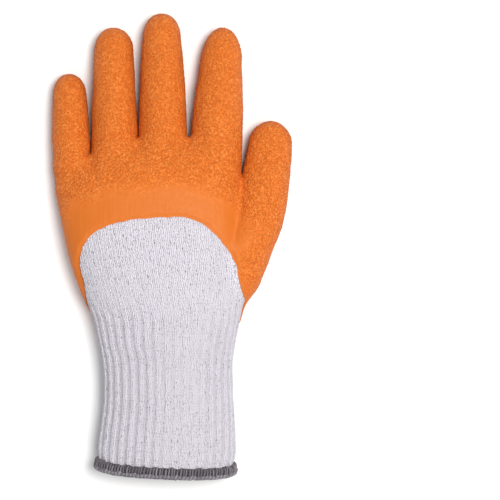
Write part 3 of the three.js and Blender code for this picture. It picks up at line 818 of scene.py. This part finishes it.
def hem_point(share, section, swell=0.0, lift=0.0):
    """A point of the hem's surface. section is 0 at its top outside and 1 at its top inside."""
    knots = np.linspace(0, 1, len(HEM_ROWS))
    share, section = np.broadcast_arrays(np.asarray(share, float), np.asarray(section, float))
    up = np.interp(section, knots, HEM_ROWS[:, 0])
    out = np.interp(section, knots, HEM_ROWS[:, 1])
    bottom = -CLEARANCE - HEM_LIP
    ragged = (0.22 * np.cos(2 * np.pi * share * RIB_COUNT) + 0.2 * np.sin(2 * np.pi * share * 23)) * up
    place = bottom + 0.15 + up * (HEM_HEIGHT - 0.4) + ragged * (up > 0.7) + lift
    turns = even_turns(0, share.ravel())
    return body_points(place.ravel(), turns, out.ravel() + swell).reshape(*share.shape, 3)


def tube(path, radius, closed=False):
    """Points and quads of a six-sided tube along a path."""
    sides = 6
    if closed:
        ahead = np.roll(path, -1, axis=0) - np.roll(path, 1, axis=0)
    else:
        ahead = np.gradient(path, axis=0)
    ahead /= np.maximum(np.linalg.norm(ahead, axis=1), 1e-9)[:, None]
    spare = np.where(np.abs(ahead[:, [2]]) < 0.8, [[0, 0, 1.0]], [[0, 1.0, 0]])
    across = np.cross(ahead, spare)
    across /= np.linalg.norm(across, axis=1)[:, None]
    upward = np.cross(across, ahead)
    angle = 2 * np.pi * np.arange(sides) / sides
    radius = np.broadcast_to(radius, len(path))[:, None, None]
    cosine, sine = np.cos(angle)[None, :, None], np.sin(angle)[None, :, None]
    rings = path[:, None] + radius * (cosine * across[:, None] + sine * upward[:, None])
    faces = ring_faces(len(path), sides)
    if closed:
        last = (len(path) - 1) * sides
        k = np.arange(sides)
        seam = np.stack([last + k, last + (k + 1) % sides, (k + 1) % sides, k], axis=-1)
        faces = np.concatenate([faces, seam])
    return rings.reshape(-1, 3), faces


def build_hem(material):
    """The overlocked hem: a base painted dark as the shade between the wraps, wraps of thread, a chain
    round it, and the thread's end.
    """
    rng = np.random.default_rng(17)
    points, quads, thread, count = [], [], [], 0

    def add(p, q, shade):
        nonlocal count
        points.append(p)
        quads.append(q + count)
        thread.append(np.full(len(p), shade))
        count += len(p)

    around, steps = 560, 30
    share, section = np.meshgrid(np.arange(around) / around, np.linspace(0, 1, steps))
    base = hem_point(share, section, swell=-0.45)
    # The base takes the lowest number, painted dark as the shade between the wraps.
    add(base.reshape(-1, 3), ring_faces(steps, around)[:, ::-1], 0.0)

    # The wraps, each a little out of place.
    for k in range(STITCHES):
        start = (k + rng.uniform(-0.12, 0.12)) / STITCHES
        t = np.linspace(0.0, 0.99, 18)
        swell = -0.3 + 0.3 * np.sin(np.pi * np.clip(t * 1.02, 0, 1)) ** 0.6 + rng.uniform(-0.1, 0.1)
        lean = rng.uniform(0.5, 1.5) / STITCHES
        path = hem_point(start + t * lean, t, swell=swell, lift=rng.uniform(-0.7, 0.3) * (1 - t))
        radius = rng.uniform(0.32, 0.46) * (0.75 + 0.25 * np.sin(np.pi * t) ** 0.5)
        add(*tube(path, radius), rng.uniform(0.3, 0.85))

    # The chain: two twisted strands along the outside, the second painted darker as the shade in the
    # twist.
    for strand in range(2):
        n = STITCHES * 8
        turn = np.arange(n) / n
        wave = 2 * np.pi * (turn * STITCHES * 0.8 + strand / 2)
        wander = 0.02 * np.sin(2 * np.pi * turn * 23) + 0.015 * np.sin(2 * np.pi * turn * 41 + 1)
        path = hem_point(turn, 0.4 + wander + 0.085 * np.sin(wave), swell=0.3 + 0.34 * np.cos(wave))
        add(*tube(path, 0.46, closed=True), 1.0 - 0.55 * strand)

    # The thread's end, sewn back into the roll at the little finger's side.
    for strand in range(4):
        t = np.linspace(0, 1, 40)
        wave = 2 * np.pi * (t * 3.5 + strand / 4)
        place = 0.14 - 0.09 * t + 0.05 * np.sin(wave)
        path = hem_point(0.462 - 0.045 * t, place, swell=0.35 + 0.5 * np.cos(wave), lift=0.7 * (1 - t))
        add(*tube(path, 0.5), 0.25)

    all_points = np.concatenate(points)
    all_points[:, 2] = np.maximum(all_points[:, 2], 0.0)
    mesh = make_mesh("hem_stitches", all_points, [np.concatenate(quads)])
    set_attribute(mesh, "thread", np.concatenate(thread))
    make_piece(mesh, material, ["hem_overlock"])


class Nodes:
    """Short calls for making a material's nodes."""

    def __init__(self, name):
        self.material = bpy.data.materials.new(name)
        self.material.use_nodes = True
        self.tree = self.material.node_tree
        self.shader = self.tree.nodes["Principled BSDF"]

    def add(self, kind, **settings):
        node = self.tree.nodes.new(kind)
        for key, value in settings.items():
            setattr(node, key, value)
        return node

    def plug(self, source, socket):
        if isinstance(source, (int, float, tuple, list)):
            socket.default_value = source
        else:
            self.tree.links.new(source, socket)

    def math(self, operation, a, b=0.0):
        node = self.add("ShaderNodeMath", operation=operation)
        self.plug(a, node.inputs[0])
        self.plug(b, node.inputs[1])
        return node.outputs[0]

    def plus(self, a, b):
        return self.math("ADD", a, b)

    def times(self, a, b):
        return self.math("MULTIPLY", a, b)

    def from_middle(self, value):
        """How far a value is from a half."""
        return self.math("ABSOLUTE", self.math("SUBTRACT", value, 0.5))

    def ranged(self, value, low, high, to_low=0.0, to_high=1.0):
        """A value taken smoothly from one range to another."""
        node = self.add("ShaderNodeMapRange", interpolation_type="SMOOTHSTEP")
        for socket, v in zip(node.inputs, (value, low, high, to_low, to_high)):
            self.plug(v, socket)
        return node.outputs[0]

    def mix(self, factor, a, b):
        node = self.add("ShaderNodeMix", data_type="RGBA")
        first, second, result = 6, 7, 2  # the node's colour sockets
        self.plug(factor, node.inputs[0])
        self.plug(a, node.inputs[first])
        self.plug(b, node.inputs[second])
        return node.outputs[result]

    def texture(self, scale, detail=2.0, roughness=0.5, distortion=0.0):
        """Noise at a size in millimetres, in the object's own space."""
        where = self.add("ShaderNodeTexCoord").outputs["Object"]
        node = self.add("ShaderNodeTexNoise")
        self.plug(where, node.inputs["Vector"])
        names = ("Scale", "Detail", "Roughness", "Distortion")
        for name, number in zip(names, (1000 / scale, detail, roughness, distortion)):
            node.inputs[name].default_value = number
        return node.outputs["Fac"]

    def ridges(self, scale, distortion):
        """Thin crests that wander at a size in millimetres, 1 on a crest and 0 in a furrow."""
        return self.ranged(self.from_middle(self.texture(scale, 1.0, 0.5, distortion)), 0.16, 0.0)

    def value(self, name):
        """A number that each point of the mesh carries."""
        return self.add("ShaderNodeAttribute", attribute_name=name).outputs["Fac"]

    def bump(self, height, distance, strength, normal=None):
        """A bump over a distance in millimetres."""
        node = self.add("ShaderNodeBump")
        node.inputs["Strength"].default_value = strength
        node.inputs["Distance"].default_value = distance * MM
        self.plug(height, node.inputs["Height"])
        if normal:
            self.plug(normal, node.inputs["Normal"])
        return node.outputs[0]

    def set(self, **values):
        """Plain numbers on the shader's own sockets."""
        for name, value in values.items():
            self.shader.inputs[name.replace("_", " ")].default_value = value


def srgb(r, g, b):
    """A screen's colour as linear light."""
    c = np.array([r, g, b]) / 255
    return (*np.where(c <= 0.04045, c / 12.92, ((c + 0.055) / 1.055) ** 2.4), 1.0)


def latex_material():
    """Orange latex with a crinkled grip, and smooth in the band along the arch. Its grain is painted
    darker in its furrows as shade and lighter on its crests as highlight, and its lower, palm side is
    painted darker as shade.
    """
    m = Nodes("latex_crinkled")
    grain, band, under = m.value("grain"), m.value("band"), m.value("under")
    grip = m.math("MAXIMUM", band, under)
    height = m.plus(m.times(m.ridges(1.45, 0.6), 0.65), m.times(m.ridges(0.95, 0.8), 0.35))
    mottle = m.texture(7.0, 3.0)
    bright = m.mix(mottle, srgb(234, 117, 29), srgb(241, 124, 36))
    smooth = m.mix(mottle, srgb(207, 107, 28), srgb(212, 114, 37))
    # Colours of painted shade for the grain's furrows and of a painted highlight for its crests.
    deep, painted_crest_highlight = srgb(216, 100, 22), srgb(244, 148, 72)
    painted_grain_shade, painted_lower_shade = srgb(190, 82, 18), srgb(180, 80, 20)
    # Painted shade in the furrows and a painted highlight on the crests, from the shader's grain and from
    # the mesh's.
    body = m.mix(m.ranged(height, 0.05, 0.5), deep, bright)
    body = m.mix(m.ranged(height, 0.6, 0.9, 0.0, 0.7), body, painted_crest_highlight)
    body = m.mix(m.ranged(grain, 0.1, -0.8, 0.0, 0.6), body, painted_grain_shade)
    colour = m.mix(m.times(grip, 0.92), smooth, body)
    # Painted shade on the lower, palm side.
    colour = m.mix(m.times(under, 0.3), colour, painted_lower_shade)
    m.plug(colour, m.shader.inputs["Base Color"])
    m.plug(m.ranged(m.texture(1.6), 0.3, 0.7, 0.52, 0.66), m.shader.inputs["Roughness"])
    m.set(Specular_IOR_Level=0.3)
    pores = m.bump(m.texture(0.7, 3.0, 0.65), 0.3, 0.3)
    m.plug(m.bump(m.times(height, grip), 0.52, 0.95, pores), m.shader.inputs["Normal"])
    return m.material


def knit_material():
    """Pale yarn in columns of V stitches, with painted shade between the loops, in gaps at some of them
    and in the furrows.
    """
    m = Nodes("knit_yarn")
    split = m.add("ShaderNodeSeparateXYZ")
    m.plug(m.add("ShaderNodeUVMap", uv_map="stitches").outputs[0], split.inputs[0])
    column, row = split.outputs[0], split.outputs[1]
    column = m.plus(column, m.ranged(m.texture(2.2), 0.25, 0.75, -0.16, 0.16))
    row = m.plus(row, m.ranged(m.texture(2.6, 2.0, 0.6), 0.25, 0.75, -0.45, 0.45))
    nearest = m.plus(column, 0.5)
    side = m.times(m.from_middle(m.math("FRACT", nearest)), 2.0)
    leg = m.math("SINE", m.times(side, math.pi))
    rise = m.plus(row, m.times(side, 0.55))
    loop = m.math("ABSOLUTE", m.math("SINE", m.times(rise, math.pi)))
    height = m.times(m.math("POWER", leg, 0.6), m.plus(m.times(loop, 0.6), 0.4))
    fuzz, cloud = m.texture(0.5, 3.0, 0.7), m.texture(9.0, 3.0)

    # Each stitch draws a number, and a high one paints shade in a gap at that stitch.
    cell = m.add("ShaderNodeCombineXYZ")
    m.plug(m.math("FLOOR", nearest), cell.inputs[0])
    m.plug(m.math("FLOOR", rise), cell.inputs[1])
    lot = m.add("ShaderNodeTexWhiteNoise", noise_dimensions="2D")
    m.plug(cell.outputs[0], lot.inputs[0])
    spot = m.plus(m.times(m.from_middle(m.math("FRACT", rise)), 1.4), m.times(side, 0.7))
    often = m.ranged(m.texture(13.0), 0.35, 0.65, 0.82, 0.45)
    drawn = m.ranged(m.math("SUBTRACT", lot.outputs[0], often), 0.0, 0.25)
    painted_gap_shade = m.times(drawn, m.ranged(spot, 0.5, 0.15))

    # The yarn's colour, then the painted shade between its loops.
    light, painted_stitch_shade = srgb(223, 219, 228), srgb(172, 167, 178)
    dull, fluff = srgb(206, 202, 212), srgb(244, 242, 246)
    # Painted shade between the loops of the stitches.
    colour = m.mix(m.ranged(height, 0.05, 0.75), painted_stitch_shade, light)
    colour = m.mix(m.ranged(cloud, 0.35, 0.7, 0.0, 0.22), colour, dull)
    colour = m.mix(m.ranged(fuzz, 0.55, 0.75, 0.0, 0.18), colour, fluff)
    # Painted shade in the gaps.
    colour = m.mix(m.times(painted_gap_shade, 0.75), colour, srgb(92, 88, 98))
    # Painted shade in the rib furrows.
    colour = m.mix(m.times(m.value("furrow"), 0.32), colour, srgb(160, 156, 168))
    m.plug(colour, m.shader.inputs["Base Color"])
    m.set(Roughness=0.95, Specular_IOR_Level=0.15, Sheen_Weight=0.25, Sheen_Roughness=0.6)
    yarn = m.bump(fuzz, 0.25, 0.5)
    m.plug(m.bump(height, 0.42, 0.9, yarn), m.shader.inputs["Normal"])
    return m.material


def hem_material():
    """Grey thread, darker or lighter by each thread's own number. The number also paints the shade
    between the wraps and in the chain's twist.
    """
    m = Nodes("hem_yarn")
    fuzz = m.texture(0.45, 3.0, 0.7)
    # The lowest number gives painted shade, higher ones lighter thread.
    colour = m.mix(m.value("thread"), srgb(46, 43, 48), srgb(146, 141, 148))
    colour = m.mix(m.ranged(fuzz, 0.5, 0.72, 0.0, 0.4), colour, srgb(172, 167, 174))
    colour = m.mix(m.ranged(m.texture(3.0), 0.45, 0.65, 0.0, 0.5), colour, srgb(92, 87, 95))
    m.plug(colour, m.shader.inputs["Base Color"])
    m.set(Roughness=0.95, Specular_IOR_Level=0.15, Sheen_Weight=0.2, Sheen_Roughness=0.6)
    m.plug(m.bump(fuzz, 0.25, 0.7), m.shader.inputs["Normal"])
    return m.material


def floor_material():
    m = Nodes("floor_white")
    colour = m.mix(m.texture(60.0), (0.9, 0.9, 0.9, 1), (0.93, 0.93, 0.93, 1))
    m.plug(colour, m.shader.inputs["Base Color"])
    m.set(Roughness=0.9, Specular_IOR_Level=0.1)
    return m.material


def build_stage():
    """The floor just under the glove, the pale surroundings, two lamps, and the camera above."""
    half, drop = 4.0, 0.0003
    mesh = bpy.data.meshes.new("floor")
    corners = [(-half, -half, 0), (half, -half, 0), (half, half, 0), (-half, half, 0)]
    mesh.from_pydata(corners, [], [(0, 1, 2, 3)])
    mesh.materials.append(floor_material())
    floor = new_object("floor", mesh)
    floor.location.z = -drop

    world = bpy.data.worlds.new("studio")
    world.use_nodes = True
    background = world.node_tree.nodes["Background"]
    background.inputs["Color"].default_value = (0.97, 0.98, 1.0, 1)
    background.inputs["Strength"].default_value = 0.4
    bpy.context.scene.world = world

    def lamp(name, at, size, energy, colour):
        data = bpy.data.lights.new(name, "AREA")
        data.shape, data.size, data.energy, data.color = "DISK", size, energy, colour
        made = new_object(name, data)
        made.location = at
        made.rotation_mode = "QUATERNION"
        made.rotation_quaternion = (-Vector(at)).to_track_quat("-Z", "Y")

    lamp("key", (0.42, 0.12, 1.4), 0.6, 19.5, (1.0, 0.985, 0.96))
    lamp("front", (0.1, -0.9, 1.3), 0.9, 3.4, (1, 1, 1))

    sensor, distance, view_width = 36.0, 0.9, 0.267  # the view is that wide at that distance
    data = bpy.data.cameras.new("camera")
    data.sensor_width, data.lens = sensor, sensor * distance / view_width
    data.clip_start, data.clip_end = 0.05, 20.0
    camera = new_object("camera", data)
    camera.location = (0.04352 + SHIFT[0] * MM, -0.00295, 0.912)
    bpy.context.scene.camera = camera
    bpy.context.scene.view_settings.view_transform = "Standard"


def main():
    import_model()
    build_stage()
    form = coating_form()
    build_latex(latex_material(), form)
    build_knit(knit_material(), form)
    build_hem(hem_material())
    bpy.context.view_layer.update()


main()
